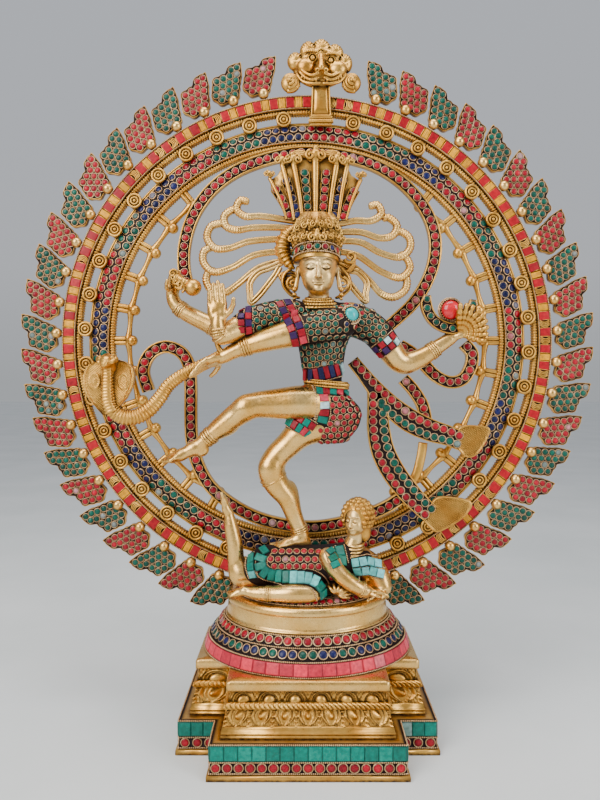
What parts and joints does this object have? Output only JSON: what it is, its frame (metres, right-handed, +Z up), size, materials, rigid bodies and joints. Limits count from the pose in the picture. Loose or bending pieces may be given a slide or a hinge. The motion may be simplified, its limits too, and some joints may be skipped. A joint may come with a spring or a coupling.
{
  "type": "brass nataraja statue",
  "caption": "Cast brass dancing figure in a ring of flames on a stepped plinth, set all over with small red, green and blue stones and resin tiles.",
  "frame": {"origin": "centre of the plinth's underside, on the surface it stands on", "axes": "+Z up, the figure faces -Y, +X to the right of someone who faces it"},
  "size_m": [0.5175, 0.196, 0.6166],
  "materials": {
    "brass_polished": "polished pale brass",
    "brass_antique": "cast brass with dark patina in the recesses",
    "brass_wire": "twisted and beaded brass wire",
    "stone_red": "glossy red glass and resin chips in bezels",
    "stone_green": "glossy teal green chips in bezels",
    "stone_blue": "glossy dark blue chips in bezels",
    "tile_red": "flat ground red resin tiles",
    "tile_yellow": "flat ground streaked yellow resin tiles",
    "tile_turquoise": "flat ground turquoise resin tiles",
    "tile_pink": "flat ground coral pink resin tiles",
    "tile_mixed": "flat ground red, blue and green resin tiles",
    "cabochon_coral": "polished coral red dome",
    "cabochon_turquoise": "polished turquoise dome",
    "steel": "plain threaded steel"
  },
  "bodies": {
    "root": {"plinth": "brass_antique", "carved_tier": "brass_antique", "top_slab": "brass_polished", "collar": "brass_antique", "drum": "brass_polished", "drum_bed": "brass_antique", "base_border_wires": "brass_wire", "plinth_turquoise_tiles": "tile_turquoise", "collar_pink_tiles": "tile_pink", "base_red_stones": "stone_red", "base_green_stones": "stone_green", "base_blue_stones": "stone_blue", "fixing_studs": "steel", "fixing_nuts": "steel", "arch_outer_band": "brass_antique", "arch_red_tiles": "tile_red", "arch_yellow_tiles": "tile_yellow", "arch_inner_band": "brass_antique", "arch_rope_rails": "brass_wire", "arch_roundels": "brass_antique", "arch_red_stones": "stone_red", "arch_green_stones": "stone_green", "arch_blue_stones": "stone_blue", "arch_fret_left": "brass_antique", "arch_fret_right": "brass_antique", "crest_mask": "brass_antique", "flame_knobs": "brass_antique", "flame_leaves": "brass_antique", "flame_red_stones": "stone_red", "flame_green_stones": "stone_green", "halo_hoop": "brass_antique", "lower_hoop": "brass_antique", "hoop_red_stones": "stone_red", "sash_loop": "brass_antique", "upper_sash": "brass_antique", "lower_sash": "brass_antique", "sash_red_stones": "stone_red", "sash_green_stones": "stone_green", "hair_left": "brass_polished", "hair_right": "brass_polished", "torso": "brass_antique", "head": "brass_polished", "headdress": "brass_antique", "standing_leg": "brass_polished", "raised_leg": "brass_polished", "crossed_arm": "brass_polished", "blessing_arm": "brass_polished", "drum_arm": "brass_polished", "fire_arm": "brass_polished", "hand_drum": "brass_polished", "fire_crescent": "brass_antique", "coral_cabochon": "cabochon_coral", "turquoise_cabochon": "cabochon_turquoise", "cobra": "brass_antique", "figure_green_stones": "stone_green", "figure_red_stones": "stone_red", "figure_blue_stones": "stone_blue", "figure_tiles": "tile_mixed", "dwarf_body": "brass_polished", "dwarf_head": "brass_polished"}
  },
  "joints": []
}
